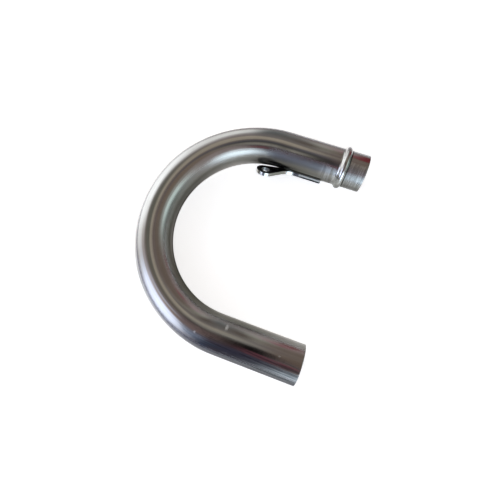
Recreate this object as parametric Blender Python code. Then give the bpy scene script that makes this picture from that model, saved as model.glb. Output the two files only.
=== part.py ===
"""Engine pipe bend: a tube bent through 180 degrees, with a hose bead near one end
and a plate bracket welded to the same leg.

The pipe lies flat. Its legs run along +X, the bend is towards -X, and +Z is up.
The origin is on the surface that it lies on, under the middle of its box.
"""

import math

import bmesh
import bpy
from mathutils import Matrix, Vector

# Tube
TUBE_DIAMETER = 0.0380
TUBE_WALL = 0.0015
BEND_RADIUS = 0.1000
BEND_ANGLE = math.radians(180)
BEND_OVALITY = 0.022
OVALITY_RUN = math.radians(20)
BEADED_LEG_LENGTH = 0.0841
PLAIN_LEG_LENGTH = 0.0796
EDGE_BREAK = 0.0003

# Hose bead, rolled outwards from the tube wall
BEAD_HEIGHT = 0.0029
BEAD_CENTRE_TO_END = 0.0220
BEAD_INNER_CROWN_RADIUS = 0.0020
BEAD_TUBE_SIDE_FILLET = 0.0033
BEAD_END_SIDE_FILLET = 0.0013

# Bracket, cut from plate. It is tangent to the tube, and along and across are
# measured in its plane: along the leg, and away from the line where it touches.
PLATE_THICKNESS = 0.0035
BRACKET_ROLL = math.radians(50)
BOLT_HOLE_DIAMETER = 0.0090
BOLT_HOLE_ALONG = -0.0132
BOLT_HOLE_ACROSS = 0.0180
EYE_RADIUS = 0.0094
TAB_END_TO_BEAD_CENTRE = 0.0165
TAB_INNER_WIDTH = 0.0044
TAB_OUTER_WIDTH = 0.0058
TAB_CORNER_RADIUS = 0.0018
ARM_INNER_ANGLE = math.radians(54)
ARM_OUTER_ANGLE = math.radians(22)
ARM_ROOT_FILLET = 0.0160
ARM_HEEL_RADIUS = 0.0040
PLATE_EDGE_BREAK = 0.0003

# Weld seams between the bracket's tab and the tube
WELD_LEG = 0.0032
WELD_BULGE = 0.18
WELD_RIPPLE_PITCH = 0.0016
WELD_RIPPLE_DEPTH = 0.05
WELD_SET_BACK = 0.0020
WELD_END_SWELL = 0.35
WELD_SHARE_OF_EDGE = 0.7
SEAM_GAP = 0.0003

# Facets
FACETS_ROUND_TUBE = 36
BEND_STEP = math.radians(6)
CORNER_STEP = math.radians(15)
RINGS_PER_RIPPLE = 3
WELD_FACE_STEPS = 6

TUBE_RADIUS = TUBE_DIAMETER / 2
AXIS_HEIGHT = TUBE_RADIUS + BEAD_HEIGHT
TAB_END_ALONG = BEADED_LEG_LENGTH - BEAD_CENTRE_TO_END - TAB_END_TO_BEAD_CENTRE
BEND_LENGTH = BEND_RADIUS * BEND_ANGLE
PIPE_LENGTH = BEADED_LEG_LENGTH + BEND_LENGTH + PLAIN_LEG_LENGTH


def clear_scene():
    for obj in list(bpy.data.objects):
        bpy.data.objects.remove(obj, do_unlink=True)


def metal(name, colour, roughness):
    material = bpy.data.materials.new(name)
    material.use_nodes = True
    shader = material.node_tree.nodes["Principled BSDF"]
    shader.inputs["Base Color"].default_value = (*colour, 1.0)
    shader.inputs["Metallic"].default_value = 1.0
    shader.inputs["Roughness"].default_value = roughness
    return material


def add_object(name, bm, material, sharp_angle=math.radians(35)):
    bmesh.ops.recalc_face_normals(bm, faces=bm.faces)
    mesh = bpy.data.meshes.new(name)
    bm.to_mesh(mesh)
    bm.free()
    mesh.materials.append(material)
    mesh.shade_smooth()
    mesh.set_sharp_from_angle(angle=sharp_angle)
    obj = bpy.data.objects.new(name, mesh)
    bpy.context.scene.collection.objects.link(obj)
    return obj


def axis_frame(distance):
    """Point, direction and inward normal of the pipe's axis, from the beaded end."""
    turned = min(max((distance - BEADED_LEG_LENGTH) / BEND_RADIUS, 0.0), BEND_ANGLE)
    straight_in = min(distance, BEADED_LEG_LENGTH)
    straight_out = max(distance - BEADED_LEG_LENGTH - BEND_LENGTH, 0.0)
    direction = Vector((-math.cos(turned), -math.sin(turned), 0.0))
    inward = Vector((math.sin(turned), -math.cos(turned), 0.0))
    point = -inward * BEND_RADIUS + direction * straight_out
    point.x += BEADED_LEG_LENGTH - straight_in
    return point, direction, inward


def ovality(distance):
    """How far the bend has flattened the round section, easing in and out."""
    turned = (distance - BEADED_LEG_LENGTH) / BEND_RADIUS
    from_ends = min(turned, BEND_ANGLE - turned) / OVALITY_RUN
    eased = min(max(from_ends, 0.0), 1.0)
    return BEND_OVALITY * eased * eased * (3 - 2 * eased)


def ring_points(distance, radius):
    centre, _, inward = axis_frame(distance)
    flat = ovality(distance)
    points = []
    for i in range(FACETS_ROUND_TUBE):
        angle = 2 * math.pi * i / FACETS_ROUND_TUBE
        across = inward * (math.cos(angle) * radius * (1 - flat))
        points.append(centre + across + Vector((0, 0, math.sin(angle) * radius * (1 + flat))))
    return points


def arc_samples(start, end):
    count = max(2, math.ceil(abs(end - start) / CORNER_STEP))
    return [start + (end - start) * i / count for i in range(count + 1)]


def bead_section(thickness):
    """Half section of the bead as distance from its centre and height over the tube.

    The outer skin has a thickness of nought. The inner skin is set in from it by the
    wall along the normal, so the rolled wall stays as thick as the tube's.
    """
    crown_radius = BEAD_INNER_CROWN_RADIUS + TUBE_WALL
    crown_height = BEAD_HEIGHT - crown_radius
    sides = []
    for fillet in (BEAD_END_SIDE_FILLET, BEAD_TUBE_SIDE_FILLET):
        rise = fillet - crown_height
        span = math.sqrt((crown_radius + fillet) ** 2 - rise ** 2)
        turn = math.acos(rise / (crown_radius + fillet))
        foot = [(span - math.sin(a) * (fillet + thickness),
                 fillet - math.cos(a) * (fillet + thickness)) for a in arc_samples(0.0, turn)]
        crown = [(math.sin(a) * (crown_radius - thickness),
                  crown_height + math.cos(a) * (crown_radius - thickness))
                 for a in arc_samples(turn, 0.0)]
        sides.append(foot + crown[1:])
    end_side, tube_side = sides
    section = [(-offset, height) for offset, height in end_side]
    return section + [(offset, height) for offset, height in reversed(tube_side[:-1])]


def bend_distances():
    steps = max(2, math.ceil(BEND_ANGLE / BEND_STEP))
    return [BEADED_LEG_LENGTH + BEND_LENGTH * i / steps for i in range(steps + 1)]


def skin(radius, thickness, edge):
    """Rings of one skin from the beaded end to the plain end: distance and radius."""
    bead = [(BEAD_CENTRE_TO_END + offset, radius + thickness + height)
            for offset, height in bead_section(thickness)]
    rings = [(0.0, radius + edge), (EDGE_BREAK, radius)]
    rings += bead
    rings += [(distance, radius) for distance in bend_distances()]
    rings += [(PIPE_LENGTH - EDGE_BREAK, radius), (PIPE_LENGTH, radius + edge)]
    return rings


def make_tube(material):
    """One wall, outside then inside, closed over both ends."""
    outer = skin(TUBE_RADIUS, 0.0, -EDGE_BREAK)
    inner = skin(TUBE_RADIUS - TUBE_WALL, TUBE_WALL, EDGE_BREAK)
    bm = bmesh.new()
    rings = [[bm.verts.new(p) for p in ring_points(*ring)] for ring in outer + inner[::-1]]
    for ring, following in zip(rings, rings[1:] + rings[:1]):
        for i in range(FACETS_ROUND_TUBE):
            j = (i + 1) % FACETS_ROUND_TUBE
            bm.faces.new((ring[i], ring[j], following[j], following[i]))
    return add_object("bend_tube", bm, material)


def rounded_outline(corners):
    """Closed outline from corners given as along, across and radius."""
    outline = []
    for i, (x, y, radius) in enumerate(corners):
        corner = Vector((x, y))
        before = (Vector(corners[i - 1][:2]) - corner).normalized()
        after = (Vector(corners[(i + 1) % len(corners)][:2]) - corner).normalized()
        half = before.angle(after) / 2
        middle = corner + (before + after).normalized() * (radius / math.sin(half))
        first = corner + before * (radius / math.tan(half)) - middle
        last = corner + after * (radius / math.tan(half)) - middle
        turn = first.angle_signed(last)
        for angle in arc_samples(0.0, -turn):
            outline.append(middle + Matrix.Rotation(angle, 2) @ first)
    return outline


def bracket_corners():
    """Corners of the bracket's outline. Both edges of the arm are tangent to its eye."""
    left = BOLT_HOLE_ALONG - EYE_RADIUS
    top = BOLT_HOLE_ACROSS + EYE_RADIUS
    inner_top = BOLT_HOLE_ALONG + EYE_RADIUS * math.tan(ARM_INNER_ANGLE / 2)
    inner_foot = inner_top + (top - TAB_INNER_WIDTH) / math.tan(ARM_INNER_ANGLE)
    outer_turn = (math.pi / 2 - ARM_OUTER_ANGLE) / 2
    outer_top = BOLT_HOLE_ACROSS - EYE_RADIUS * math.tan(outer_turn)
    heel = left + (outer_top + TAB_OUTER_WIDTH) / math.tan(ARM_OUTER_ANGLE)
    return [
        (left, top, EYE_RADIUS),
        (inner_top, top, EYE_RADIUS),
        (inner_foot, TAB_INNER_WIDTH, ARM_ROOT_FILLET),
        (TAB_END_ALONG, TAB_INNER_WIDTH, TAB_CORNER_RADIUS),
        (TAB_END_ALONG, -TAB_OUTER_WIDTH, TAB_CORNER_RADIUS),
        (heel, -TAB_OUTER_WIDTH, ARM_HEEL_RADIUS),
        (left, outer_top, EYE_RADIUS),
    ]


def bolt_hole():
    count = round(2 * math.pi / CORNER_STEP)
    radius = BOLT_HOLE_DIAMETER / 2
    centre = Vector((BOLT_HOLE_ALONG, BOLT_HOLE_ACROSS))
    return [centre + Matrix.Rotation(2 * math.pi * i / count, 2) @ Vector((radius, 0))
            for i in range(count)]


def add_loop(bm, points):
    verts = [bm.verts.new((x, y, 0.0)) for x, y in points]
    return [bm.edges.new(pair) for pair in zip(verts, verts[1:] + verts[:1])]


def without_repeats(points, closest=1e-6):
    return [p for i, p in enumerate(points) if (p - points[i - 1]).length > closest]


def make_bracket(material, plate_frame):
    bm = bmesh.new()
    edges = add_loop(bm, without_repeats(rounded_outline(bracket_corners())))
    edges += add_loop(bm, bolt_hole())
    face = bmesh.ops.triangle_fill(bm, use_beauty=True, use_dissolve=False, edges=edges)
    faces = [item for item in face["geom"] if isinstance(item, bmesh.types.BMFace)]
    pulled = bmesh.ops.extrude_face_region(bm, geom=faces)
    lower = [item for item in pulled["geom"] if isinstance(item, bmesh.types.BMVert)]
    bmesh.ops.translate(bm, verts=lower, vec=(0, 0, PLATE_THICKNESS))
    bracket = add_object("mounting_bracket", bm, material)
    bracket.matrix_world = plate_frame
    bevel = bracket.modifiers.new("sheared edges", "BEVEL")
    bevel.width = PLATE_EDGE_BREAK
    bevel.segments = 1
    bevel.limit_method = "ANGLE"
    bevel.angle_limit = math.radians(60)
    return bracket


def tube_depth(across):
    """Height of the tube's surface in the bracket's frame, below the plate's face."""
    return -SEAM_GAP - TUBE_RADIUS + math.sqrt(TUBE_RADIUS ** 2 - across ** 2)


def weld_section(root, toe_on_plate, toe_on_tube):
    """Rounded triangle between a root and two toes, as points in a plane."""
    chord = toe_on_tube - toe_on_plate
    out = Vector((chord.y, -chord.x)).normalized()
    if out.dot(toe_on_plate - root) < 0:
        out.negate()
    face = []
    for i in range(WELD_FACE_STEPS + 1):
        share = i / WELD_FACE_STEPS
        lift = 4 * share * (1 - share) * WELD_BULGE * chord.length
        face.append(toe_on_plate + chord * share + out * lift)
    return [root] + face


def weld_swell(travelled, length):
    """Size of the bead along its run: ripples, and rounded ends."""
    ripple = 1 - WELD_RIPPLE_DEPTH * abs(math.sin(math.pi * travelled / WELD_RIPPLE_PITCH))
    from_end = min(travelled, length - travelled) / WELD_LEG
    rounded = math.sqrt(max(0.0, 1 - max(0.0, 1 - from_end) ** 2))
    return ripple * (WELD_END_SWELL + (1 - WELD_END_SWELL) * rounded)


def make_weld(name, material, plate_frame, length, place):
    """Bead swept over its length. place(travelled, section point) gives local points."""
    count = max(6, round(length / WELD_RIPPLE_PITCH) * RINGS_PER_RIPPLE)
    bm = bmesh.new()
    rings = []
    for i in range(count + 1):
        travelled = length * i / count
        swell = weld_swell(travelled, length)
        rings.append([bm.verts.new(p) for p in place(travelled, swell)])
    for ring, following in zip(rings, rings[1:]):
        for i in range(len(ring)):
            j = (i + 1) % len(ring)
            bm.faces.new((ring[i], ring[j], following[j], following[i]))
    bm.faces.new(rings[0])
    bm.faces.new(rings[-1])
    weld = add_object(name, bm, material)
    weld.matrix_world = plate_frame
    return weld


def edge_weld_ring(along, swell):
    """Section of the weld on the tab's outer edge, at one place along the leg."""
    edge = -TAB_OUTER_WIDTH - SEAM_GAP
    toe = edge - WELD_LEG * swell
    root = Vector((edge, tube_depth(edge) + SEAM_GAP))
    lap = (PLATE_THICKNESS - root.y) * WELD_SHARE_OF_EDGE * swell
    on_plate = Vector((edge, root.y + lap))
    on_tube = Vector((toe, tube_depth(toe) + SEAM_GAP))
    return [(along, y, z) for y, z in weld_section(root, on_plate, on_tube)]


def end_weld_ring(across, swell):
    """Section of the weld on the tab's end, at one place across it."""
    end = TAB_END_ALONG + SEAM_GAP
    depth = tube_depth(across) + SEAM_GAP
    root = Vector((end, depth))
    lap = (PLATE_THICKNESS - depth) * WELD_SHARE_OF_EDGE * swell
    on_plate = Vector((end, depth + lap))
    on_tube = Vector((end + WELD_LEG * swell, depth))
    return [(x, across, z) for x, z in weld_section(root, on_plate, on_tube)]


def make_welds(material, plate_frame):
    heel = bracket_corners()[5][0]
    start = heel + ARM_HEEL_RADIUS
    edge_length = TAB_END_ALONG - TAB_CORNER_RADIUS - start
    make_weld("weld_seam_edge", material, plate_frame, edge_length,
              lambda travelled, swell: edge_weld_ring(start + travelled, swell))
    end_start = -TAB_OUTER_WIDTH + TAB_CORNER_RADIUS
    end_stop = TAB_INNER_WIDTH - TAB_CORNER_RADIUS - WELD_SET_BACK
    end_length = end_stop - end_start
    make_weld("weld_seam_end", material, plate_frame, end_length,
              lambda travelled, swell: end_weld_ring(end_start + travelled, swell))


def bracket_frame():
    """Frame of the plate's face: along the leg, across it, and away from the tube."""
    away = Vector((0, -math.cos(BRACKET_ROLL), -math.sin(BRACKET_ROLL)))
    across = Vector((0, -math.sin(BRACKET_ROLL), math.cos(BRACKET_ROLL)))
    touch = Vector((0, BEND_RADIUS, 0)) + away * (TUBE_RADIUS + SEAM_GAP)
    turn = Matrix((Vector((1, 0, 0)), across, away)).transposed().to_4x4()
    return Matrix.Translation(touch) @ turn


def model_centre():
    """Middle of the pipe's box in plan, seen from the bend's centre."""
    outer_left = BEND_RADIUS + TUBE_RADIUS * (1 - BEND_OVALITY)
    right = max(BEADED_LEG_LENGTH, PLAIN_LEG_LENGTH)
    bead_side = BEND_RADIUS + TUBE_RADIUS + BEAD_HEIGHT
    plain_side = BEND_RADIUS + TUBE_RADIUS
    return Vector(((right - outer_left) / 2, (bead_side - plain_side) / 2, 0.0))


def build():
    clear_scene()
    tube_metal = metal("stainless tube", (0.56, 0.54, 0.51), 0.28)
    plate_metal = metal("scaled plate", (0.12, 0.12, 0.125), 0.40)
    weld_metal = metal("weld metal", (0.42, 0.38, 0.34), 0.45)
    place = Matrix.Translation(Vector((0, 0, AXIS_HEIGHT)) - model_centre())
    make_tube(tube_metal)
    make_bracket(plate_metal, bracket_frame())
    make_welds(weld_metal, bracket_frame())
    for obj in bpy.data.objects:
        obj.matrix_world = place @ obj.matrix_world


build()
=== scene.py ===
"""Looks of the engine pipe bend: its drawn steel tube, its bracket and the welds between them.

The frame's solids give every place. The pieces below repeat their shapes with fine facets,
rounded edges and worn metal, and the stage is a pale floor under a soft room light.
"""

import math

import bmesh
import bpy
import numpy as np
from mathutils import Matrix, Vector


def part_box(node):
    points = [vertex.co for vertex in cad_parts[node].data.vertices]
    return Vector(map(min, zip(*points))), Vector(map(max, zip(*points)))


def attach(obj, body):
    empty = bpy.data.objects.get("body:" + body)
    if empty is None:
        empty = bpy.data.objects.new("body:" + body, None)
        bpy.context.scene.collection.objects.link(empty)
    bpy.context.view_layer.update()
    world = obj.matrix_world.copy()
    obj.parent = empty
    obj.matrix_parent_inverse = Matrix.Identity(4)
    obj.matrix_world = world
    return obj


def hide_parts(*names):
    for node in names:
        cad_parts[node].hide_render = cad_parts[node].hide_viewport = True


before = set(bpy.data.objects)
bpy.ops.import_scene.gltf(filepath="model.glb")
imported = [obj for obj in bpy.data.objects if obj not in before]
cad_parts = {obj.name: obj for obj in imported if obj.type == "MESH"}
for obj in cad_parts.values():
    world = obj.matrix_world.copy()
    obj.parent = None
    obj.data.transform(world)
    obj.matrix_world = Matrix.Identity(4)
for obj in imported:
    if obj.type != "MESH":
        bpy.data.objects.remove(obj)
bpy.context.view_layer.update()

# Tube, in metres
TUBE_RADIUS = 0.0190
TUBE_WALL = 0.0015
BEND_RADIUS = 0.1000
BEND_ANGLE = math.radians(180)
BEND_OVALITY = 0.022
OVALITY_RUN = math.radians(20)
BEADED_LEG_LENGTH = 0.0841
PLAIN_LEG_LENGTH = 0.0796
RIM_ROUNDING = 0.0003

# Hose bead
BEAD_HEIGHT = 0.0029
BEAD_CENTRE_TO_END = 0.0220
BEAD_INNER_CROWN_RADIUS = 0.0020
BEAD_TUBE_SIDE_FILLET = 0.0033
BEAD_END_SIDE_FILLET = 0.0013

# Bracket, measured in its plane from the start of the bend and from its line on the tube
PLATE_THICKNESS = 0.0035
BRACKET_ROLL = math.radians(50)
BOLT_HOLE_RADIUS = 0.0045
BOLT_HOLE_ALONG = -0.0132
BOLT_HOLE_ACROSS = 0.0180
EYE_RADIUS = 0.0094
TAB_END_ALONG = 0.0456
TAB_INNER_WIDTH = 0.0044
TAB_OUTER_WIDTH = 0.0058
TAB_CORNER_RADIUS = 0.0018
ARM_INNER_ANGLE = math.radians(54)
ARM_OUTER_ANGLE = math.radians(22)
ARM_ROOT_FILLET = 0.0160
ARM_HEEL_RADIUS = 0.0040
HEEL_CORNER = 5
PLATE_EDGE_ROUNDING = 0.0004
SEAM_GAP = 0.0003

# Welds, which reach into the tube and the plate by WELD_BITE. A bead's end is WELD_END_SIZE of its
# full size, and it climbs WELD_PLATE_SHARE of the plate's edge.
WELD_LEG = 0.0032
WELD_BULGE = 0.18
WELD_RIPPLE_PITCH = 0.0016
WELD_RIPPLE_DEPTH = 0.10
WELD_RIPPLE_CURVE = 0.0011
WELD_RIPPLE_SHARPNESS = 3
WELD_TOE_HOLD = 4
WELD_END_SIZE = 0.3
WELD_PLATE_SHARE = 0.7
WELD_SET_BACK = 0.0020
WELD_BITE = 0.0001

# Facets
FACETS_ROUND_TUBE = 144
BEND_STEP = math.radians(1.25)
LEG_STEP = 0.0040
SUPPORT_STEP = 0.0003
BEAD_STEP = math.radians(6)
OUTLINE_STEP = math.radians(4)
RINGS_PER_RIPPLE = 10
WELD_FACE_STEPS = 14
RIM_STEP = math.radians(30)
PLATE_EDGE_SEGMENTS = 4
SHARP_ANGLE = math.radians(60)
SAME_POINT = 1e-6
SHELL_SUBDIVISIONS = 5

# A noise is given by how many times it changes in a metre, its detail and its roughness. A contrast
# is the two values of a noise between which it takes effect, and while a noise goes through
# ROUGHNESS_NOISE, a roughness given as a pair goes from its first value to its second.
NOISE_MEAN = 0.5
ROUGHNESS_NOISE = (0.3, 0.7)

# Tube's finish. Lines are given by how many times they change in a metre along the pipe and round
# it, and a band by the distances from the beaded end where it starts and stops, and how soft it is.
TUBE_DARK = (0.53, 0.51, 0.48)
TUBE_PALE = (0.59, 0.57, 0.545)
CLOUD_NOISE = (70.0, 4.0, 0.6)
FINE_SHARE = 0.5
SHADE_CONTRAST = (0.35, 0.65)
FINE_LINES = (14.0, 900.0)
FINE_GRAIN = (4.0, 0.6)
FINE_DEPTH = 0.00003
COARSE_LINES = (6.0, 330.0)
COARSE_DEPTH = 0.00005
BRUSH_LINES = (620.0, 45.0)
BRUSH_DEPTH = 0.00006
TUBE_ROUGHNESS = (0.06, 0.10)
# The inner side of the pipe is duller: fully below the first angle, and not above the second
INNER_ROUGHNESS = 0.30
INNER_ANGLES = (34, 60)
# Stretches of another finish: distances from the beaded end, angles round the pipe (0 inwards,
# 90 up), and how soft their edges are
FILM_PATCH = ((0.036, 0.100), (22, 60), (0.006, 6))
FILM_COLOUR = (0.42, 0.42, 0.44)
FILM_ROUGHNESS = 0.30
# As the clouds go from the first value to the second, the film's share goes from the third to the fourth
FILM_CLOUDS = (0.30, 0.60, 0.75, 1.0)
BRUSHED_PATCH = ((0.026, 0.041), (0, 54), (0.005, 8))
BRUSHED_ROUGHNESS = 0.30
BRUSHED_COLOUR = (0.78, 0.78, 0.79)
BRUSH_CONTRAST = (0.40, 0.62)
SPIGOT_PATCH = ((-0.010, 0.019), (-60, 82), (0.001, 6))
WORN_BEAD_PATCH = ((0.0186, 0.0290), (-70, 46), (0.0005, 6))
WORN_BEAD_COLOUR = (0.97, 0.97, 0.96)
WORN_BEAD_ROUGHNESS = 0.18
# Painted shade: a dark line in the fold at the foot of the bead's end side, over a band of distances from the
# beaded end
CREASE_SHADE_BAND = (0.0176, 0.0188, 0.0004)
PAINTED_CREASE_SHADE = (0.06, 0.06, 0.055)
SPIGOT_COLOUR = (0.55, 0.55, 0.535)
SPIGOT_MARKED_COLOUR = (0.74, 0.74, 0.73)
SPIGOT_ROUGHNESS = 0.27
BEAD_BAND = (0.0176, 0.0276, 0.0008)
# Painted shade and the bracket's dark reflection, dark on the tube: along the tab, at the arm's heel and behind the
# arm
BRACKET_SHADE_PATCHES = (((0.039, 0.079), (-70, -2), (0.002, 2)), ((0.074, 0.085), (-70, 8), (0.005, 5)),
                 ((0.082, 0.102), (6, 13), (0.006, 4)))
PAINTED_BRACKET_SHADE = (0.025, 0.025, 0.023)
# Streaks on the plain leg, which turn slowly round it as they run along it and darken it
STREAK_PATCH = ((0.385, 0.500), (92, 172), (0.020, 12))
STREAK_LINES = (20.0, 480.0)
STREAK_GRAIN = (3.0, 0.6)
STREAK_CLIMB = -0.05
STREAK_DEPTH = 0.00022
STREAK_COLOUR = (0.16, 0.16, 0.17)
STREAK_CONTRAST = (0.50, 0.60)
STREAK_DARKENS = 0.65
# Small marks: distance from the beaded end, angle, half length along and half width round
MARKS = ((0.4060, 61, 0.0016, 0.0034), (0.3810, 106, 0.0012, 0.0012), (0.4570, 83, 0.0012, 0.0008))
MARK_COLOUR = (0.80, 0.79, 0.76)
MARK_ROUGHNESS = 0.45
MARK_EDGE = 3
# As the film's clouds, for the marks
MARK_CLOUDS = (0.30, 0.55, 0.3, 1.0)

# Bore's finish
BORE_DARK = (0.16, 0.145, 0.13)
BORE_PALE = (0.36, 0.34, 0.32)
BORE_NOISE = (120.0, 5.0, 0.65)
BORE_ROUGHNESS = (0.38, 0.55)
BORE_DEPTH = 0.0001

# Plate's finish. The scale gives way to cut metal where a face turns off the plate's own plane.
PLATE_NOISE = (700.0, 4.0, 0.6)
PLATE_DEPTH = 0.00003
SCALE_CONTRAST = (0.35, 0.70)
SCALE_ROUGHNESS = (0.30, 0.42)
CUT_FACING = (0.35, 0.75)
CUT_FRAYING = 0.3
SCALE_DARK = (0.035, 0.035, 0.038)
SCALE_PALE = (0.10, 0.10, 0.105)
SHEARED_COLOUR = (0.82, 0.81, 0.77)
SHEARED_ROUGHNESS = 0.16
# The tab's edge is torn: dull above and dark below. Where it starts, and the dark depths
TAB_FROM = (0.018, 0.026)
TORN_DEPTHS = (0.0018, 0.0060, 0.0004)
TORN_ROUGHNESS = 0.50
# Share of scale on the bolt hole's wall, and the width outside its rounding where that share ends
HOLE_SCALE_SHARE = 0.65
HOLE_FADE = 0.0008

# Welds' finish
WELD_STRAW = (0.46, 0.38, 0.28)
WELD_BLUE = (0.33, 0.34, 0.40)
WELD_CLOUDS = (260.0, 3.0)
WELD_TINT_CONTRAST = (0.35, 0.65)
WELD_ROUGHNESS = (0.28, 0.45)
WELD_GRAIN = (1800.0, 2.0)
WELD_GRAIN_DEPTH = 0.00005

WHITE = (1.0, 1.0, 1.0)
BLACK = (0.0, 0.0, 0.0)

# Places taken from the frame's solids
tube_low, tube_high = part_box("bend_tube")
BEND_LENGTH = BEND_RADIUS * BEND_ANGLE
PIPE_LENGTH = BEADED_LEG_LENGTH + BEND_LENGTH + PLAIN_LEG_LENGTH
BEND_CENTRE = Vector((tube_high.x - BEADED_LEG_LENGTH,
                      tube_low.y + BEND_RADIUS + TUBE_RADIUS,
                      (tube_low.z + tube_high.z) / 2))

# Camera, as the photograph was taken
CAMERA_PLACE = BEND_CENTRE + Vector((0.03182, -0.07330, 0.29963))
CAMERA_RIGHT = Vector((0.94008, 0.33973, -0.02882))
CAMERA_FORWARD = Vector((-0.09928, 0.19189, -0.97638))
CAMERA_LENS = 22.397
SENSOR_WIDTH = 36.0
CLIP_START = 0.01

# Soft patches of light and shade that the metal reflects, painted one over another on spheres
# round the bend's centre: where each stands, how far it reaches across and up, how firm its edge
# is (2 soft, 8 firm), and its light. Angles in degrees, from +X towards +Y and up from level.
ROOM_LIGHT = (0.33, 0.286, 0.29)
FAR_DISTANCE = 3.0
FAR_PATCHES = {
    "window, left": (167, 17, 38, 34, 4.2, (1.69, 1.78, 1.87)),
    "window, upper left": (119, 24, 20, 18, 2.9, (1.12, 1.17, 1.19)),
    "window frame": (199, 89, 25, 86, 4.7, (0.20, 0.145, 0.11)),
    "window, lower left": (227, 27, 26, 35, 4.3, (1.59, 1.79, 2.27)),
    "window, lower right": (-62, 13, 25, 26, 4.5, (1.86, 2.27, 2.60)),
    "ceiling lamp": (117, 73, 10, 12, 3, (0.87, 0.77, 0.63)),
    "doorway, top": (243, 54, 32, 6, 2, (0.36, 0.21, 0.09)),
    "dark doorway": (265, 30, 19, 63, 3.1, (0.04, 0.04, 0.07)),
    "brown cupboard": (100, 32, 9, 34, 2.5, (0.14, 0.16, 0.17)),
    "ceiling beam": (156, 64, 15, 20, 2.9, (0.17, 0.17, 0.15)),
    "pale sill": (281, 3, 2, 4, 3.2, (0.90, 0.97, 1.15)),
    "pale streak": (88, 36, 3, 24, 4.2, (0.54, 0.59, 0.55)),
    "brown cloth": (52, 43, 34, 26, 4, (0.18, 0.14, 0.115)),
    "olive cloth": (92, 45, 2, 15, 2, (0.13, 0.11, 0.10)),
    "pinkish wall": (85, 21, 4, 8, 3, (0.40, 0.32, 0.34)),
}
MIDDLE_DISTANCE = 0.6
MIDDLE_PATCHES = {
    "teal wall": (14, 16, 21, 26, 2.4, (1.24, 1.58, 1.61)),
    "dark wall, right": (19, -2, 37, 27, 5.2, (0.14, 0.16, 0.15)),
    "lavender edge": (252, 49, 8, 39, 2.9, (0.23, 0.30, 0.44)),
    "black cloth": (260, 68, 13, 26, 5.7, (0.0, 0.0, 0.0)),
    "maroon cloth": (281, 53, 6, 7, 2.2, (0.17, 0.06, 0.085)),
    "navy cloth": (260, -1, 3, 18, 2.8, (0.06, 0.08, 0.14)),
    "pink cloth": (77, 26, 3, 6, 2, (0.28, 0.11, 0.13)),
}
NEAR_DISTANCE = 0.28
NEAR_PATCHES = {
    "grey patch, above": (256, 82, 8, 13, 2, (0.34, 0.33, 0.30)),
    "grey patch": (249, 47, 11, 17, 2.2, (0.24, 0.18, 0.18)),
    "maroon patch": (297, 41, 4, 4, 3.5, (0.20, 0.08, 0.10)),
    "plum patch": (265, 33, 4, 5, 2.5, (0.06, 0.04, 0.06)),
    "navy patch": (264, 20, 4, 4, 2.4, (0.07, 0.09, 0.14)),
    "dark patch": (264, 74, 5, 3, 2.4, (0.14, 0.13, 0.13)),
}

# Red card beside the spigot, from the bend's centre
CARD_MIDDLE = (0.096, 0.165, 0.062)
CARD_HALF_SIZE = (0.028, 0.038)
CARD_LEAN = math.radians(10)
CARD_EDGE = 0.012
CARD_LIGHT = (0.20, 0.040, 0.050)

# A glossy sheet over the floor that only the metal sees. It mirrors the room at a low angle, and
# otherwise shows the floor through soft patches, painted one over another: middle from the bend's
# centre, half sizes, edge and how much of the floor shows, which over one makes it brighter.
SHEET_HEIGHT = 0.0004
SHEET_SIZE = 6.4
SHEET_IOR = 1.5
SHEET_ROUGHNESS = 0.15
SHEET_CLEAR = (0.16, 0.16, 0.23)
SHEET_PATCHES = {
    "near side": ((0.239, -0.091), (0.286, 0.622), 3.5, (0.28, 0.31, 0.33)),
    "far side": ((-0.163, 0.508), (0.699, 0.566), 6, (0.65, 0.67, 0.73)),
    "left": ((-0.011, 0.038), (0.299, 0.180), 6, (1.35, 1.35, 1.35)),
    "far left": ((-0.125, 0.190), (0.085, 0.080), 3, (1.65, 1.65, 1.65)),
    "left, near side": ((-0.130, -0.110), (0.035, 0.040), 2, (0.70, 0.72, 0.75)),
    "near side, close": ((0.040, -0.150), (0.100, 0.030), 4, (0.25, 0.26, 0.28)),
    "inside, left": ((-0.041, 0.005), (0.034, 0.056), 4, (0.04, 0.035, 0.025)),
    "inside, middle": ((0.022, 0.038), (0.060, 0.084), 4, (0.14, 0.14, 0.11)),
    "inside, near side": ((0.018, -0.042), (0.073, 0.026), 4, (0.16, 0.16, 0.13)),
    "inside, corner": ((-0.036, -0.045), (0.030, 0.032), 4, (0.10, 0.10, 0.08)),
    "right": ((0.203, 0.024), (0.184, 0.153), 6, (0.33, 0.34, 0.32)),
    "under the spigot": ((0.072, 0.068), (0.032, 0.014), 3, (0.20, 0.20, 0.19)),
    # Painted shadow on the floor under the bracket, which the tube and the plate reflect
    "shadow under the bracket": ((-0.005, 0.068), (0.022, 0.026), 4, (0.015, 0.015, 0.015)),
}
# Shade under the pipe: how far it reaches inwards of the centre line, from and to, and how soft it
# is; where it fades along the legs; and where it falls to a share towards the beaded leg
UNDER_PIPE_BAND = (-0.012, 0.031, 0.008)
UNDER_PIPE_END = (0.000, 0.050)
UNDER_PIPE_FAR_SIDE = (0.020, 0.080)
UNDER_PIPE_FAR_SHARE = 0.3
UNDER_PIPE_CLEAR = (0.03, 0.03, 0.02)

# Floor
FLOOR_SIZE = 12.0
FLOOR_COLOUR = (0.86, 0.86, 0.85)
FLOOR_GLOW = 0.77


def link(obj):
    bpy.context.scene.collection.objects.link(obj)
    return obj


def arc_samples(start, end, step):
    count = max(2, math.ceil(abs(end - start) / step))
    return [start + (end - start) * i / count for i in range(count + 1)]


# Nodes

def new_material(name):
    material = bpy.data.materials.new(name)
    material.use_nodes = True
    tree = material.node_tree
    return material, tree, tree.nodes["Principled BSDF"]


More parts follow.
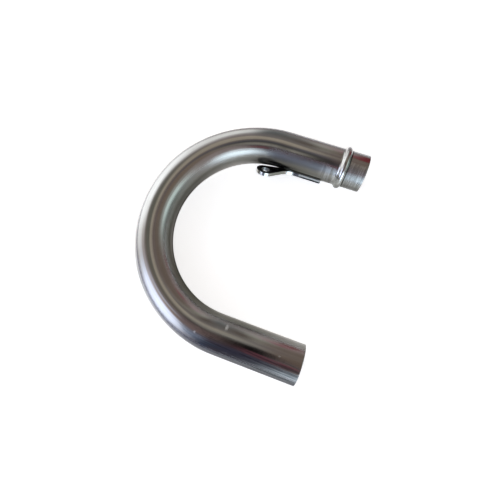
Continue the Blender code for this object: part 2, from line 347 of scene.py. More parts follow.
def socket_value(tree, socket, value):
    """Links an output to a socket, or sets the socket to a plain value."""
    if isinstance(value, bpy.types.NodeSocket):
        tree.links.new(value, socket)
    else:
        socket.default_value = value


def maths(tree, operation, *values, clamp=False):
    node = tree.nodes.new("ShaderNodeMath")
    node.operation = operation
    node.use_clamp = clamp
    for socket, value in zip(node.inputs, values):
        socket_value(tree, socket, value)
    return node.outputs[0]


def folded(tree, operation, values):
    result, *others = values
    for value in others:
        result = maths(tree, operation, result, value)
    return result


def product(tree, *values):
    return folded(tree, "MULTIPLY", values)


def total(tree, *values):
    return folded(tree, "ADD", values)


def vector_maths(tree, operation, *values):
    node = tree.nodes.new("ShaderNodeVectorMath")
    node.operation = operation
    for socket, value in zip(node.inputs, values):
        socket_value(tree, socket, value)
    return node.outputs["Value" if operation in ("DOT_PRODUCT", "LENGTH") else "Vector"]


def mix_colour(tree, share, first, second):
    node = tree.nodes.new("ShaderNodeMix")
    node.data_type = "RGBA"
    for socket, value in ((node.inputs[0], share), (node.inputs[6], first), (node.inputs[7], second)):
        if isinstance(value, tuple):
            value = (*value, 1.0)
        socket_value(tree, socket, value)
    return node.outputs[2]


def noise(tree, vector, scale, detail=3.0, roughness=0.5):
    node = tree.nodes.new("ShaderNodeTexNoise")
    tree.links.new(vector, node.inputs["Vector"])
    node.inputs["Scale"].default_value = scale
    node.inputs["Detail"].default_value = detail
    node.inputs["Roughness"].default_value = roughness
    return node.outputs["Fac"]


def remap(tree, value, low, high, out_low=0.0, out_high=1.0):
    """A smooth step from one value to another, as the first goes from low to high."""
    node = tree.nodes.new("ShaderNodeMapRange")
    node.interpolation_type = "SMOOTHSTEP"
    for socket, number in zip(node.inputs, (value, low, high, out_low, out_high)):
        socket_value(tree, socket, number)
    return node.outputs[0]


def band(tree, value, low, high, soft):
    """One between low and high, and nought beyond, changing over a soft width at both."""
    return product(tree, remap(tree, value, low - soft, low + soft),
                   remap(tree, value, high - soft, high + soft, 1.0, 0.0))


def soft_share(tree, x, y, edge):
    """How much of a soft-edged patch covers a place, from its own two coordinates."""
    squared = total(tree, product(tree, x, x), product(tree, y, y))
    falloff = product(tree, maths(tree, "POWER", squared, edge / 2), -1.0)
    return maths(tree, "EXPONENT", falloff)


def parts(tree, vector):
    node = tree.nodes.new("ShaderNodeSeparateXYZ")
    tree.links.new(vector, node.inputs[0])
    return node.outputs


def flat_vector(tree, x, y):
    node = tree.nodes.new("ShaderNodeCombineXYZ")
    tree.links.new(x, node.inputs[0])
    tree.links.new(y, node.inputs[1])
    return node.outputs[0]


def lines(tree, place, along, around, *grain):
    """Noise drawn out along the pipe: how many times it changes in a metre, each way."""
    return noise(tree, vector_maths(tree, "MULTIPLY", place, (along, around, around)), 1.0, *grain)


def attribute(tree, name):
    node = tree.nodes.new("ShaderNodeAttribute")
    node.attribute_name = name
    return node.outputs["Vector"]


def object_place(tree):
    return tree.nodes.new("ShaderNodeTexCoord").outputs["Object"]


# Metals

def set_metal(tree, shader, colour, roughness, height, depth):
    """Links a metal's colour, roughness and bumps, which are as deep as height times depth."""
    bump = tree.nodes.new("ShaderNodeBump")
    bump.inputs["Distance"].default_value = depth
    tree.links.new(height, bump.inputs["Height"])
    tree.links.new(bump.outputs["Normal"], shader.inputs["Normal"])
    tree.links.new(colour, shader.inputs["Base Color"])
    tree.links.new(roughness, shader.inputs["Roughness"])
    shader.inputs["Metallic"].default_value = 1.0


def patch_on_pipe(tree, distance, angle, ragged, patch):
    """Share of a stretch of the pipe's skin, with ragged edges that the noise draws."""
    (near, far), (low, high), (soft_along, soft_round) = patch
    low, high, soft_round = math.radians(low), math.radians(high), math.radians(soft_round)
    distance = maths(tree, "MULTIPLY_ADD", ragged, 2 * soft_along, distance)
    angle = maths(tree, "MULTIPLY_ADD", ragged, 2 * soft_round, angle)
    return product(tree, band(tree, distance, near, far, soft_along),
                   band(tree, angle, low, high, soft_round))


def streaks_on_pipe(tree, distance, angle):
    """Noise along lines that turn slowly round the pipe as they run along it."""
    arc = product(tree, angle, TUBE_RADIUS)
    climbing = flat_vector(tree, distance, maths(tree, "MULTIPLY_ADD", distance, STREAK_CLIMB, arc))
    return lines(tree, climbing, *STREAK_LINES, *STREAK_GRAIN)


def marks_on_pipe(tree, distance, angle, clouds):
    """Share of the small marks, broken up by the clouds."""
    marks = 0.0
    for mark_distance, mark_angle, half_length, half_width in MARKS:
        x = maths(tree, "DIVIDE", maths(tree, "SUBTRACT", distance, mark_distance), half_length)
        turned = maths(tree, "SUBTRACT", angle, math.radians(mark_angle))
        y = product(tree, turned, TUBE_RADIUS / half_width)
        marks = maths(tree, "MAXIMUM", marks, soft_share(tree, x, y, MARK_EDGE))
    return product(tree, marks, remap(tree, clouds, *MARK_CLOUDS))


def tube_metal():
    """Drawn and bent steel: lines along it, a dull film by the bead, brush marks and wear, with painted shade in
    the bead's fold and beside the bracket.
    """
    material, tree, shader = new_material("drawn tube steel")
    place = attribute(tree, "pipe_place")
    distance, inward, up = parts(tree, place)
    angle = maths(tree, "ARCTAN2", up, inward)
    fine = lines(tree, place, *FINE_LINES, *FINE_GRAIN)
    coarse = lines(tree, place, *COARSE_LINES)
    rings = lines(tree, place, *BRUSH_LINES)
    clouds = noise(tree, place, *CLOUD_NOISE)
    ragged = maths(tree, "SUBTRACT", clouds, NOISE_MEAN)

    def stretch(patch, ragged=ragged):
        return patch_on_pipe(tree, distance, angle, ragged, patch)

    film = product(tree, stretch(FILM_PATCH), remap(tree, clouds, *FILM_CLOUDS))
    brushed = stretch(BRUSHED_PATCH)
    spigot = stretch(SPIGOT_PATCH)
    worn = stretch(WORN_BEAD_PATCH)
    streaked = stretch(STREAK_PATCH)
    streaks = streaks_on_pipe(tree, distance, angle)
    marks = marks_on_pipe(tree, distance, angle, clouds)
    brush_mark = remap(tree, rings, *BRUSH_CONTRAST)
    dark_streak = remap(tree, streaks, *STREAK_CONTRAST, 0.0, STREAK_DARKENS)

    shade = total(tree, product(tree, fine, FINE_SHARE), product(tree, clouds, 1 - FINE_SHARE))
    shade = remap(tree, shade, *SHADE_CONTRAST)
    colour = mix_colour(tree, shade, TUBE_DARK, TUBE_PALE)
    layers = [(film, FILM_COLOUR),
              (product(tree, brushed, brush_mark), BRUSHED_COLOUR),
              (spigot, mix_colour(tree, brush_mark, SPIGOT_COLOUR, SPIGOT_MARKED_COLOUR)),
              # Painted shade in the bead's fold
              (band(tree, distance, *CREASE_SHADE_BAND), PAINTED_CREASE_SHADE),
              (worn, WORN_BEAD_COLOUR)]
    # Painted shade and the bracket's dark reflection on the tube beside it
    layers += [(stretch(patch, ragged=0.0), PAINTED_BRACKET_SHADE) for patch in BRACKET_SHADE_PATCHES]
    layers += [(product(tree, streaked, dark_streak), STREAK_COLOUR), (marks, MARK_COLOUR)]
    for share, layer_colour in layers:
        colour = mix_colour(tree, share, colour, layer_colour)

    inner = remap(tree, angle, *(math.radians(a) for a in INNER_ANGLES), 1.0, 0.0)
    inner = product(tree, inner, maths(tree, "SUBTRACT", 1.0, band(tree, distance, *BEAD_BAND)))
    roughness = remap(tree, shade, 0.0, 1.0, *TUBE_ROUGHNESS)
    for share, rough in ((inner, INNER_ROUGHNESS), (marks, MARK_ROUGHNESS), (worn, WORN_BEAD_ROUGHNESS),
                         (film, FILM_ROUGHNESS), (brushed, BRUSHED_ROUGHNESS), (spigot, SPIGOT_ROUGHNESS)):
        rise = product(tree, maths(tree, "SUBTRACT", rough, roughness), share)
        roughness = total(tree, roughness, rise)

    height = total(tree, product(tree, fine, FINE_DEPTH), product(tree, coarse, COARSE_DEPTH),
                   product(tree, rings, maths(tree, "MAXIMUM", brushed, spigot), BRUSH_DEPTH),
                   product(tree, streaks, streaked, STREAK_DEPTH))
    set_metal(tree, shader, colour, roughness, height, 1.0)
    return material


def bore_metal():
    material, tree, shader = new_material("dull bore steel")
    stain = noise(tree, attribute(tree, "pipe_place"), *BORE_NOISE)
    colour = mix_colour(tree, stain, BORE_DARK, BORE_PALE)
    roughness = remap(tree, stain, *ROUGHNESS_NOISE, *BORE_ROUGHNESS)
    set_metal(tree, shader, colour, roughness, stain, BORE_DEPTH)
    return material


def plate_metal():
    """Plate with mottled black scale on its faces and bright sheared edges, torn along the tab."""
    material, tree, shader = new_material("scaled plate steel")
    place = object_place(tree)
    normal = tree.nodes.new("ShaderNodeNewGeometry").outputs["Normal"]
    from_tube = vector_maths(tree, "SUBTRACT", place, tuple(bracket_frame().translation))
    axes = [tuple(axis) for axis in bracket_frame().to_3x3().col]
    along, across, depth = (vector_maths(tree, "DOT_PRODUCT", from_tube, axis) for axis in axes)
    facing = maths(tree, "ABSOLUTE", vector_maths(tree, "DOT_PRODUCT", normal, axes[2]))
    grain = noise(tree, place, *PLATE_NOISE)

    from_hole = flat_vector(tree, maths(tree, "SUBTRACT", along, BOLT_HOLE_ALONG),
                            maths(tree, "SUBTRACT", across, BOLT_HOLE_ACROSS))
    rounding_end = BOLT_HOLE_RADIUS + PLATE_EDGE_ROUNDING
    in_hole = remap(tree, vector_maths(tree, "LENGTH", from_hole), rounding_end, rounding_end + HOLE_FADE, 1.0, 0.0)
    on_tab = remap(tree, along, *TAB_FROM)
    torn = product(tree, on_tab, band(tree, depth, *TORN_DEPTHS))
    dull = maths(tree, "MAXIMUM", torn, product(tree, in_hole, HOLE_SCALE_SHARE))
    cut = remap(tree, maths(tree, "MULTIPLY_ADD", grain, -CUT_FRAYING, facing), *CUT_FACING, 1.0, 0.0)
    cut = product(tree, cut, maths(tree, "SUBTRACT", 1.0, dull))

    scale = mix_colour(tree, remap(tree, grain, *SCALE_CONTRAST), SCALE_DARK, SCALE_PALE)
    rough = remap(tree, grain, *ROUGHNESS_NOISE, *SCALE_ROUGHNESS)
    edge_rough = remap(tree, on_tab, 0.0, 1.0, SHEARED_ROUGHNESS, TORN_ROUGHNESS)
    sheared = product(tree, maths(tree, "SUBTRACT", edge_rough, rough), cut)
    set_metal(tree, shader, mix_colour(tree, cut, scale, SHEARED_COLOUR), total(tree, rough, sheared),
              grain, PLATE_DEPTH)
    return material


def weld_metal():
    """Weld metal with the straw and blue tints that heat leaves on it."""
    material, tree, shader = new_material("tinted weld metal")
    place = object_place(tree)
    clouds = noise(tree, place, *WELD_CLOUDS)
    colour = mix_colour(tree, remap(tree, clouds, *WELD_TINT_CONTRAST), WELD_STRAW, WELD_BLUE)
    roughness = remap(tree, clouds, *ROUGHNESS_NOISE, *WELD_ROUGHNESS)
    set_metal(tree, shader, colour, roughness, noise(tree, place, *WELD_GRAIN), WELD_GRAIN_DEPTH)
    return material


# Tube

def pipe_axis(distance):
    """Centre and inward direction of the pipe at a distance from its beaded end."""
    turned = min(max((distance - BEADED_LEG_LENGTH) / BEND_RADIUS, 0.0), BEND_ANGLE)
    direction = Vector((-math.cos(turned), -math.sin(turned), 0.0))
    inward = Vector((math.sin(turned), -math.cos(turned), 0.0))
    past_bend = max(distance - BEADED_LEG_LENGTH - BEND_LENGTH, 0.0)
    centre = BEND_CENTRE - inward * BEND_RADIUS + direction * past_bend
    centre.x += BEADED_LEG_LENGTH - min(distance, BEADED_LEG_LENGTH)
    return centre, inward


def ovality(distance):
    turned = (distance - BEADED_LEG_LENGTH) / BEND_RADIUS
    eased = min(max(min(turned, BEND_ANGLE - turned) / OVALITY_RUN, 0.0), 1.0)
    return BEND_OVALITY * eased * eased * (3 - 2 * eased)


def bead_section(thickness):
    """Distances from the bead's centre, and heights over the tube, from the beaded end."""
    crown_radius = BEAD_INNER_CROWN_RADIUS + TUBE_WALL
    crown_height = BEAD_HEIGHT - crown_radius
    sides = []
    for fillet in (BEAD_END_SIDE_FILLET, BEAD_TUBE_SIDE_FILLET):
        rise = fillet - crown_height
        span = math.sqrt((crown_radius + fillet) ** 2 - rise ** 2)
        turn = math.acos(rise / (crown_radius + fillet))
        foot = [(span - math.sin(a) * (fillet + thickness),
                 fillet - math.cos(a) * (fillet + thickness)) for a in arc_samples(0.0, turn, BEAD_STEP)]
        crown = [(math.sin(a) * (crown_radius - thickness),
                  crown_height + math.cos(a) * (crown_radius - thickness))
                 for a in arc_samples(turn, 0.0, BEAD_STEP)]
        sides.append(foot + crown[1:])
    end_side, tube_side = sides
    section = [(-offset, height) for offset, height in end_side]
    return section + [(offset, height) for offset, height in reversed(tube_side[:-1])]


def even_steps(start, end, step):
    """Places between two ends, without the ends."""
    count = max(2, math.ceil((end - start) / step))
    return [start + (end - start) * i / count for i in range(1, count)]


def held_steps(start, end, step):
    """Even steps, with a ring close to each end that keeps the straight stretch's shading straight."""
    return [start + SUPPORT_STEP] + even_steps(start, end, step) + [end - SUPPORT_STEP]


def skin(radius, thickness, rounding):
    """Rings of one skin from the beaded end to the plain end, as distance and radius."""
    rim = [(RIM_ROUNDING * (1 - math.sin(a)), radius + rounding * (1 - math.cos(a)))
           for a in arc_samples(math.pi / 2, 0.0, RIM_STEP)]
    bead = [(BEAD_CENTRE_TO_END + offset, radius + thickness + height)
            for offset, height in bead_section(thickness)]
    bend_end = BEADED_LEG_LENGTH + BEND_LENGTH
    straight = held_steps(RIM_ROUNDING, bead[0][0], LEG_STEP)
    before_bend = held_steps(bead[-1][0], BEADED_LEG_LENGTH, LEG_STEP)
    bend_steps = even_steps(BEADED_LEG_LENGTH, bend_end, BEND_STEP * BEND_RADIUS)
    after_bend = held_steps(bend_end, PIPE_LENGTH - RIM_ROUNDING, LEG_STEP)
    rings = [(RIM_ROUNDING - distance, r) for distance, r in rim]
    rings += [(distance, radius) for distance in straight] + bead
    rings += [(distance, radius) for distance in
              before_bend + [BEADED_LEG_LENGTH] + bend_steps + [bend_end] + after_bend]
    rings += [(PIPE_LENGTH - RIM_ROUNDING + distance, r) for distance, r in reversed(rim)]
    return rings


def make_tube():
    """One closed wall: the outer skin, the plain end, the bore, and the beaded end."""
    outer = skin(TUBE_RADIUS, 0.0, -RIM_ROUNDING)
    inner = skin(TUBE_RADIUS - TUBE_WALL, TUBE_WALL, RIM_ROUNDING)
    rings = outer + inner[::-1]
    angles = np.arange(FACETS_ROUND_TUBE) * (2 * math.pi / FACETS_ROUND_TUBE)
    points, places = [], []
    for distance, radius in rings:
        centre, inward = pipe_axis(distance)
        flat = ovality(distance)
        across = np.cos(angles)[:, None] * np.array(inward) * radius * (1 - flat)
        up = np.sin(angles)[:, None] * np.array((0, 0, 1)) * radius * (1 + flat)
        points.append(np.array(centre) + across + up)
        places.append(np.stack([np.full_like(angles, distance),
                                np.cos(angles) * TUBE_RADIUS, np.sin(angles) * TUBE_RADIUS], 1))
    faces = []
    for i in range(len(rings)):
        following = (i + 1) % len(rings)
        for j in range(FACETS_ROUND_TUBE):
            k = (j + 1) % FACETS_ROUND_TUBE
            faces.append((i * FACETS_ROUND_TUBE + j, following * FACETS_ROUND_TUBE + j,
                          following * FACETS_ROUND_TUBE + k, i * FACETS_ROUND_TUBE + k))
    mesh = bpy.data.meshes.new("tube")
    mesh.from_pydata(np.concatenate(points).tolist(), [], faces)
    stored = mesh.attributes.new("pipe_place", "FLOAT_VECTOR", "POINT")
    stored.data.foreach_set("vector", np.concatenate(places).astype(np.float32).ravel())
    mesh.materials.append(tube_metal())
    mesh.materials.append(bore_metal())
    bore_faces = range(len(outer) * FACETS_ROUND_TUBE, (len(rings) - 1) * FACETS_ROUND_TUBE)
    for index in bore_faces:
        mesh.polygons[index].material_index = 1
    mesh.shade_smooth()
    mesh.validate()
    tube = link(bpy.data.objects.new("tube_drawn", mesh))
    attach(tube, "root")
    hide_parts("bend_tube")
    return tube


# Bracket

def bracket_frame():
    """Frame of the plate's face: along the leg, across it, and away from the tube."""
    away = Vector((0, -math.cos(BRACKET_ROLL), -math.sin(BRACKET_ROLL)))
    across = Vector((0, -math.sin(BRACKET_ROLL), math.cos(BRACKET_ROLL)))
    touch = BEND_CENTRE + Vector((0, BEND_RADIUS, 0)) + away * (TUBE_RADIUS + SEAM_GAP)
    turn = Matrix((Vector((1, 0, 0)), across, away)).transposed().to_4x4()
    return Matrix.Translation(touch) @ turn


def bracket_corners():
    """Corners of the outline as along, across and radius. The heel is at HEEL_CORNER."""
    left = BOLT_HOLE_ALONG - EYE_RADIUS
    top = BOLT_HOLE_ACROSS + EYE_RADIUS
    inner_top = BOLT_HOLE_ALONG + EYE_RADIUS * math.tan(ARM_INNER_ANGLE / 2)
    inner_foot = inner_top + (top - TAB_INNER_WIDTH) / math.tan(ARM_INNER_ANGLE)
    outer_turn = (math.pi / 2 - ARM_OUTER_ANGLE) / 2
    outer_top = BOLT_HOLE_ACROSS - EYE_RADIUS * math.tan(outer_turn)
    heel = left + (outer_top + TAB_OUTER_WIDTH) / math.tan(ARM_OUTER_ANGLE)
    return [
        (left, top, EYE_RADIUS),
        (inner_top, top, EYE_RADIUS),
        (inner_foot, TAB_INNER_WIDTH, ARM_ROOT_FILLET),
        (TAB_END_ALONG, TAB_INNER_WIDTH, TAB_CORNER_RADIUS),
        (TAB_END_ALONG, -TAB_OUTER_WIDTH, TAB_CORNER_RADIUS),
        (heel, -TAB_OUTER_WIDTH, ARM_HEEL_RADIUS),
        (left, outer_top, EYE_RADIUS),
    ]


def rounded_outline(corners):
    outline = []
    for i, (x, y, radius) in enumerate(corners):
        corner = Vector((x, y))
        before = (Vector(corners[i - 1][:2]) - corner).normalized()
        after = (Vector(corners[(i + 1) % len(corners)][:2]) - corner).normalized()
        half = before.angle(after) / 2
        middle = corner + (before + after).normalized() * (radius / math.sin(half))
        first = corner + before * (radius / math.tan(half)) - middle
        last = corner + after * (radius / math.tan(half)) - middle
        turn = first.angle_signed(last)
        for angle in arc_samples(0.0, -turn, OUTLINE_STEP):
            outline.append(middle + Matrix.Rotation(angle, 2) @ first)
    return [p for i, p in enumerate(outline) if (p - outline[i - 1]).length > SAME_POINT]


def add_loop(bm, points):
    verts = [bm.verts.new((x, y, 0.0)) for x, y in points]
    return [bm.edges.new(pair) for pair in zip(verts, verts[1:] + verts[:1])]


def make_bracket():
    bm = bmesh.new()
    hole_count = round(2 * math.pi / OUTLINE_STEP)
    centre = Vector((BOLT_HOLE_ALONG, BOLT_HOLE_ACROSS))
    hole = [centre + Matrix.Rotation(2 * math.pi * i / hole_count, 2) @ Vector((BOLT_HOLE_RADIUS, 0))
            for i in range(hole_count)]
    edges = add_loop(bm, rounded_outline(bracket_corners())) + add_loop(bm, hole)
    filled = bmesh.ops.triangle_fill(bm, use_beauty=True, use_dissolve=False, edges=edges)
    faces = [item for item in filled["geom"] if isinstance(item, bmesh.types.BMFace)]
    pulled = bmesh.ops.extrude_face_region(bm, geom=faces)
    lower = [item for item in pulled["geom"] if isinstance(item, bmesh.types.BMVert)]
    bmesh.ops.translate(bm, verts=lower, vec=(0, 0, PLATE_THICKNESS))
    bmesh.ops.recalc_face_normals(bm, faces=bm.faces)
    mesh = bpy.data.meshes.new("bracket")
    bm.to_mesh(mesh)
    bm.free()
    mesh.transform(bracket_frame())
    mesh.materials.append(plate_metal())
    mesh.shade_smooth()
    bracket = link(bpy.data.objects.new("bracket_plate", mesh))
    rounding = bracket.modifiers.new("rounded edges", "BEVEL")
    rounding.width = PLATE_EDGE_ROUNDING
    rounding.segments = PLATE_EDGE_SEGMENTS
    rounding.limit_method = "ANGLE"
    rounding.angle_limit = SHARP_ANGLE
    normals = bracket.modifiers.new("flat faces", "WEIGHTED_NORMAL")
    normals.keep_sharp = True
    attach(bracket, "root")
    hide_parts("mounting_bracket")
    return bracket


# Welds

def tube_depth(across):
    """Height of the tube's surface in the bracket's frame, below the plate's face."""
    return -SEAM_GAP - TUBE_RADIUS + math.sqrt(TUBE_RADIUS ** 2 - across ** 2)


def weld_section(root, toe_on_plate, toe_on_tube):
    """Rounded triangle between a root and two toes, as points in a plane."""
    chord = toe_on_tube - toe_on_plate
    out = Vector((chord.y, -chord.x)).normalized()
    if out.dot(toe_on_plate - root) < 0:
        out.negate()
    face = []
    for i in range(WELD_FACE_STEPS + 1):
        share = i / WELD_FACE_STEPS
        lift = 4 * share * (1 - share) * WELD_BULGE * chord.length
        face.append(toe_on_plate + chord * share + out * lift)
    return [root] + face


def weld_ripple(travelled, share):
    """How far out the bead's face stands at one place, in crescent ripples."""
    trailing = travelled + WELD_RIPPLE_CURVE * (2 * share - 1) ** 2
    wave = abs(math.cos(math.pi * trailing / WELD_RIPPLE_PITCH))
    return 1 - WELD_RIPPLE_DEPTH * wave ** WELD_RIPPLE_SHARPNESS


def weld_size(travelled, length):
    """Size of the bead at one place, rounded off towards its ends."""
    from_end = min(travelled, length - travelled) / WELD_LEG
    rounded = math.sqrt(max(0.0, 1 - max(0.0, 1 - from_end) ** 2))
    return WELD_END_SIZE + (1 - WELD_END_SIZE) * rounded


def edge_weld_ring(along, size):
    """Section of the weld on the tab's outer edge, at one place along the leg."""
    edge = -TAB_OUTER_WIDTH + WELD_BITE
    toe = edge - SEAM_GAP - WELD_LEG * size
    root = Vector((edge, tube_depth(edge) - WELD_BITE))
    on_plate = Vector((edge, root.y + (PLATE_THICKNESS - root.y) * WELD_PLATE_SHARE * size))
    on_tube = Vector((toe, tube_depth(toe) - WELD_BITE))
    return [Vector((along, y, z)) for y, z in weld_section(root, on_plate, on_tube)]


def end_weld_ring(across, size):
    """Section of the weld on the tab's end, at one place across it."""
    end = TAB_END_ALONG - WELD_BITE
    depth = tube_depth(across) - WELD_BITE
    root = Vector((end, depth))
    on_plate = Vector((end, depth + (PLATE_THICKNESS - depth) * WELD_PLATE_SHARE * size))
    on_tube = Vector((end + SEAM_GAP + WELD_LEG * size, depth))
    return [Vector((x, across, z)) for x, z in weld_section(root, on_plate, on_tube)]


def make_weld(name, node, metal, length, place):
    """Bead swept over its length, each face point drawn to the root between the ripples."""
    count = round(length / WELD_RIPPLE_PITCH) * RINGS_PER_RIPPLE
    bm = bmesh.new()
    rings = []
    for i in range(count + 1):
        travelled = length * i / count
        root, *face = place(travelled, weld_size(travelled, length))
        ring = [root]
        for k, point in enumerate(face):
            share = k / WELD_FACE_STEPS
            held = 1 - (2 * share - 1) ** WELD_TOE_HOLD
            ring.append(root + (point - root) * (1 - (1 - weld_ripple(travelled, share)) * held))
        rings.append([bm.verts.new(p) for p in ring])
    for ring, following in zip(rings, rings[1:]):
        for i in range(len(ring)):
            j = (i + 1) % len(ring)
            bm.faces.new((ring[i], ring[j], following[j], following[i]))
    bm.faces.new(rings[0])
    bm.faces.new(rings[-1])
    bmesh.ops.recalc_face_normals(bm, faces=bm.faces)
    mesh = bpy.data.meshes.new(name)
    bm.to_mesh(mesh)
    bm.free()
    mesh.transform(bracket_frame())
    mesh.materials.append(metal)
    mesh.shade_smooth()
    mesh.set_sharp_from_angle(angle=SHARP_ANGLE)
    weld = link(bpy.data.objects.new(name, mesh))
    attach(weld, "root")
    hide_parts(node)
    return weld


def make_welds():
    metal = weld_metal()
    heel_along, _, _ = bracket_corners()[HEEL_CORNER]
    start = heel_along + ARM_HEEL_RADIUS
    edge_length = TAB_END_ALONG - TAB_CORNER_RADIUS - start
    make_weld("weld_along_edge", "weld_seam_edge", metal, edge_length,
              lambda travelled, size: edge_weld_ring(start + travelled, size))
    end_start = -TAB_OUTER_WIDTH + TAB_CORNER_RADIUS
    end_stop = TAB_INNER_WIDTH - TAB_CORNER_RADIUS - WELD_SET_BACK
    make_weld("weld_across_end", "weld_seam_end", metal, end_stop - end_start,
              lambda travelled, size: end_weld_ring(end_start + travelled, size))


# Stage

def plane(name, half_sizes, height):
    x, y = half_sizes
    mesh = bpy.data.meshes.new(name)
    corners = [(-x, -y, height), (x, -y, height), (x, y, height), (-x, y, height)]
    mesh.from_pydata(corners, [], [(0, 1, 2, 3)])
    obj = link(bpy.data.objects.new(name, mesh))
    return obj


def blank_material(name):
    """A material with nothing but its output, and the socket for its surface."""
    material = bpy.data.materials.new(name)
    material.use_nodes = True
    tree = material.node_tree
    tree.nodes.clear()
    return material, tree, tree.nodes.new("ShaderNodeOutputMaterial").inputs["Surface"]


def glowing(tree, colour):
    node = tree.nodes.new("ShaderNodeEmission")
    tree.links.new(colour, node.inputs["Color"])
    return node


def see_through(tree, colour):
    node = tree.nodes.new("ShaderNodeBsdfTransparent")
    tree.links.new(colour, node.inputs["Color"])
    return node


def add_shaders(tree, first, second, surface):
    both = tree.nodes.new("ShaderNodeAddShader")
    tree.links.new(first.outputs[0], both.inputs[0])
    tree.links.new(second.outputs[0], both.inputs[1])
    tree.links.new(both.outputs[0], surface)


def keep_for_reflections(obj):
    obj.visible_camera = False
    obj.visible_diffuse = False
    obj.visible_shadow = False


def make_floor():
    """Pale floor that shows white to the camera and to the metal, and keeps a soft shadow."""
    floor = plane("floor", (FLOOR_SIZE / 2, FLOOR_SIZE / 2), 0.0)
    material, tree, surface = blank_material("pale floor")
    matt = tree.nodes.new("ShaderNodeBsdfDiffuse")
    matt.inputs["Color"].default_value = (*FLOOR_COLOUR, 1.0)
    light_path = tree.nodes.new("ShaderNodeLightPath")
    seen = maths(tree, "ADD", light_path.outputs["Is Camera Ray"], light_path.outputs["Is Glossy Ray"])
    seen = maths(tree, "ADD", seen, light_path.outputs["Is Transmission Ray"], clamp=True)
    glow = tree.nodes.new("ShaderNodeEmission")
    tree.links.new(product(tree, seen, FLOOR_GLOW), glow.inputs["Strength"])
    add_shaders(tree, matt, glow, surface)
    floor.data.materials.append(material)


def sheet_patches(tree, position):
    """How much of the floor the sheet shows at each place, from its soft patches."""
    clear = SHEET_CLEAR
    for (x, y), (half_x, half_y), edge, shows in SHEET_PATCHES.values():
        placed = vector_maths(tree, "SUBTRACT", position, (BEND_CENTRE.x + x, BEND_CENTRE.y + y, 0.0))
        across = vector_maths(tree, "DOT_PRODUCT", placed, (1 / half_x, 0.0, 0.0))
        along = vector_maths(tree, "DOT_PRODUCT", placed, (0.0, 1 / half_y, 0.0))
        clear = mix_colour(tree, soft_share(tree, across, along, edge), clear, shows)
    return clear


def under_pipe(tree, position):
    """Share of the shade under the bend, which fades along the legs and towards the beaded one."""
    across, along, _ = parts(tree, vector_maths(tree, "SUBTRACT", position, tuple(BEND_CENTRE)))
    round_bend = maths(tree, "MINIMUM", across, 0.0)
    squared = total(tree, product(tree, round_bend, round_bend), product(tree, along, along))
    reach = maths(tree, "SQRT", squared)
    return product(tree, band(tree, maths(tree, "SUBTRACT", BEND_RADIUS, reach), *UNDER_PIPE_BAND),
                   remap(tree, across, *UNDER_PIPE_END, 1.0, 0.0),
                   remap(tree, along, *UNDER_PIPE_FAR_SIDE, 1.0, UNDER_PIPE_FAR_SHARE))


def make_floor_sheet():
    """One glossy sheet over the floor, tinted in soft patches, for the reflections only."""
    sheet = plane("floor_sheet", (SHEET_SIZE / 2, SHEET_SIZE / 2), SHEET_HEIGHT)
    material, tree, surface = blank_material("glossy floor sheet")
    position = tree.nodes.new("ShaderNodeNewGeometry").outputs["Position"]
    clear = mix_colour(tree, under_pipe(tree, position), sheet_patches(tree, position), UNDER_PIPE_CLEAR)
    mirror = tree.nodes.new("ShaderNodeBsdfGlossy")
    mirror.inputs["Roughness"].default_value = SHEET_ROUGHNESS
    fresnel = tree.nodes.new("ShaderNodeFresnel")
    fresnel.inputs["IOR"].default_value = SHEET_IOR
    both = tree.nodes.new("ShaderNodeMixShader")
    for socket, node in zip(both.inputs, (fresnel, see_through(tree, clear), mirror)):
        tree.links.new(node.outputs[0], socket)
    tree.links.new(both.outputs[0], surface)
    sheet.data.materials.append(material)
    keep_for_reflections(sheet)


def patch_share(tree, direction, patch):
    """How much of one patch covers a direction from the bend's centre."""
    azimuth, elevation, half_width, half_height, edge, _ = patch
    turn, rise = math.radians(azimuth), math.radians(elevation)
    middle = Vector((math.cos(rise) * math.cos(turn), math.cos(rise) * math.sin(turn), math.sin(rise)))
    across = Vector((-math.sin(turn), math.cos(turn), 0.0))
    upward = middle.cross(across)
    x = vector_maths(tree, "DOT_PRODUCT", direction, across / math.sin(math.radians(half_width)))
    y = vector_maths(tree, "DOT_PRODUCT", direction, upward / math.sin(math.radians(half_height)))
    faces = maths(tree, "GREATER_THAN", vector_maths(tree, "DOT_PRODUCT", direction, middle), 0.0)
    return product(tree, soft_share(tree, x, y, edge), faces)


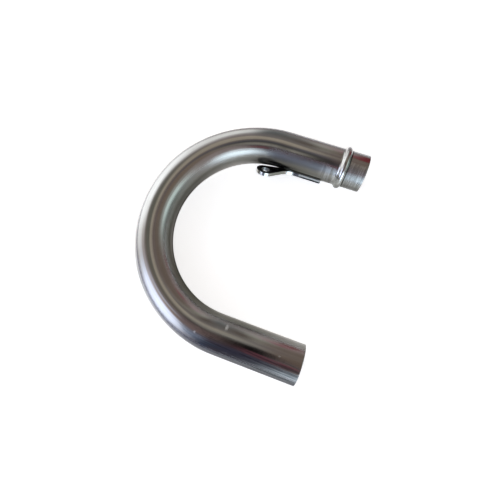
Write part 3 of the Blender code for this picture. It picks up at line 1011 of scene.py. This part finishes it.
def make_shell(name, radius, patches, base=None):
    """A sphere round the pipe. Without a base it is clear between its patches, for reflections only."""
    bm = bmesh.new()
    bmesh.ops.create_icosphere(bm, subdivisions=SHELL_SUBDIVISIONS, radius=radius)
    mesh = bpy.data.meshes.new(name)
    bm.to_mesh(mesh)
    bm.free()
    shell = link(bpy.data.objects.new(name, mesh))
    shell.location = BEND_CENTRE
    material, tree, surface = blank_material(name + " light")
    direction = vector_maths(tree, "NORMALIZE", object_place(tree))
    light, clear = base or BLACK, WHITE
    for patch in patches.values():
        share = patch_share(tree, direction, patch)
        light = mix_colour(tree, share, light, patch[-1])
        clear = mix_colour(tree, share, clear, BLACK)
    if base:
        tree.links.new(glowing(tree, light).outputs[0], surface)
        shell.visible_camera = False
    else:
        add_shaders(tree, glowing(tree, light), see_through(tree, clear), surface)
        keep_for_reflections(shell)
    mesh.materials.append(material)


def make_room():
    make_shell("room_far", FAR_DISTANCE, FAR_PATCHES, ROOM_LIGHT)
    make_shell("room_middle", MIDDLE_DISTANCE, MIDDLE_PATCHES)
    make_shell("room_near", NEAR_DISTANCE, NEAR_PATCHES)


def make_card():
    """Something red beside the spigot, for the reflections only. Its lower edge isn't soft."""
    card = plane("red_card", CARD_HALF_SIZE, 0.0)
    card.matrix_world = (Matrix.Translation(BEND_CENTRE + Vector(CARD_MIDDLE))
                         @ Matrix.Rotation(math.pi / 2 - CARD_LEAN, 4, "X"))
    material, tree, surface = blank_material("red card")
    across, up, _ = parts(tree, object_place(tree))
    half_width, half_height = CARD_HALF_SIZE
    share = product(tree, band(tree, across, -half_width + CARD_EDGE, half_width - CARD_EDGE, CARD_EDGE),
                    band(tree, up, -half_height - CARD_EDGE, half_height - CARD_EDGE, CARD_EDGE))
    light = glowing(tree, mix_colour(tree, share, BLACK, CARD_LIGHT))
    add_shaders(tree, light, see_through(tree, mix_colour(tree, share, WHITE, BLACK)), surface)
    card.data.materials.append(material)
    keep_for_reflections(card)


def make_world():
    world = bpy.data.worlds.new("white")
    world.use_nodes = True
    background = world.node_tree.nodes["Background"]
    background.inputs["Color"].default_value = (*WHITE, 1.0)
    background.inputs["Strength"].default_value = 1.0
    bpy.context.scene.world = world


def make_camera():
    data = bpy.data.cameras.new("camera")
    data.sensor_width = SENSOR_WIDTH
    data.lens = CAMERA_LENS
    data.clip_start = CLIP_START
    camera = link(bpy.data.objects.new("camera", data))
    forward = CAMERA_FORWARD.normalized()
    right = (CAMERA_RIGHT - forward * CAMERA_RIGHT.dot(forward)).normalized()
    turn = Matrix((right, right.cross(forward), -forward)).transposed().to_4x4()
    camera.matrix_world = Matrix.Translation(CAMERA_PLACE) @ turn
    bpy.context.scene.camera = camera


make_tube()
make_bracket()
make_welds()
make_floor()
make_floor_sheet()
make_room()
make_card()
make_world()
make_camera()
bpy.context.scene.view_settings.view_transform = "Standard"
